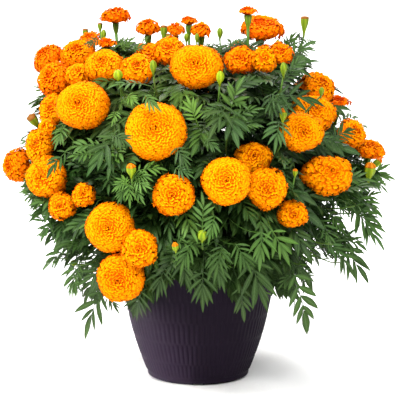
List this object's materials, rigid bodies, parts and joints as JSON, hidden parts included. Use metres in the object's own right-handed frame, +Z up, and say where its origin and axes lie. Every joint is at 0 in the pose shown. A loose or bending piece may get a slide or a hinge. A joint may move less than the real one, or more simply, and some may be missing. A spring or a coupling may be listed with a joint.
{
  "type": "potted african marigold",
  "caption": "Bushy African marigold with ruffled orange pompom flower heads on leafy stems, growing in soil in a round, tapered dark plastic pot on a foot ring.",
  "frame": {"origin": "middle of the pot's foot ring, on the floor it stands on", "axes": "+Z up along the pot's axis, -Y towards the side that the picture shows, +X to the right as seen from there"},
  "size_m": [0.6302, 0.6179, 0.5906],
  "materials": {
    "pot_plastic": "satin",
    "potting_soil": "matte",
    "foliage": "satin",
    "petals_gold": "matte",
    "petals_orange": "matte",
    "petals_deep_orange": "matte"
  },
  "bodies": {
    "root": {"pot": "pot_plastic", "soil": "potting_soil", "leafy_stem_01": "foliage", "leafy_stem_02": "foliage", "leafy_stem_03": "foliage", "leafy_stem_04": "foliage", "leafy_stem_05": "foliage", "leafy_stem_06": "foliage", "leafy_stem_07": "foliage", "leafy_stem_08": "foliage", "leafy_stem_09": "foliage", "leafy_stem_10": "foliage", "leafy_stem_11": "foliage", "leafy_stem_12": "foliage", "flower_head_01": "petals_gold", "flower_head_02": "petals_gold", "flower_head_03": "petals_gold", "flower_head_04": "petals_gold", "flower_head_05": "petals_orange", "flower_head_06": "petals_gold", "flower_head_07": "petals_orange", "flower_head_08": "petals_gold", "flower_head_09": "petals_gold", "flower_head_10": "petals_gold", "flower_head_11": "petals_gold", "flower_head_12": "petals_gold", "flower_head_13": "petals_gold", "flower_head_14": "petals_orange", "flower_head_15": "petals_orange", "flower_head_16": "petals_orange", "flower_head_17": "petals_orange", "flower_head_18": "petals_orange", "flower_head_19": "petals_deep_orange", "flower_head_20": "petals_orange", "flower_head_21": "petals_orange", "flower_head_22": "petals_deep_orange", "flower_head_23": "petals_deep_orange", "flower_head_24": "petals_orange", "flower_head_25": "petals_orange", "flower_head_26": "petals_orange", "flower_head_27": "petals_orange", "flower_head_28": "petals_orange", "flower_head_29": "petals_orange", "flower_head_30": "petals_deep_orange", "flower_head_31": "petals_orange", "flower_head_32": "petals_deep_orange", "flower_head_33": "petals_deep_orange", "flower_head_34": "petals_gold", "flower_head_35": "petals_gold", "flower_head_36": "petals_gold", "flower_head_37": "petals_gold", "flower_head_38": "petals_orange", "flower_head_39": "petals_orange", "flower_head_40": "petals_orange", "flower_head_41": "petals_gold", "flower_head_42": "petals_deep_orange", "flower_head_43": "petals_deep_orange", "flower_head_44": "petals_orange", "flower_head_45": "petals_gold"}
  },
  "joints": []
}
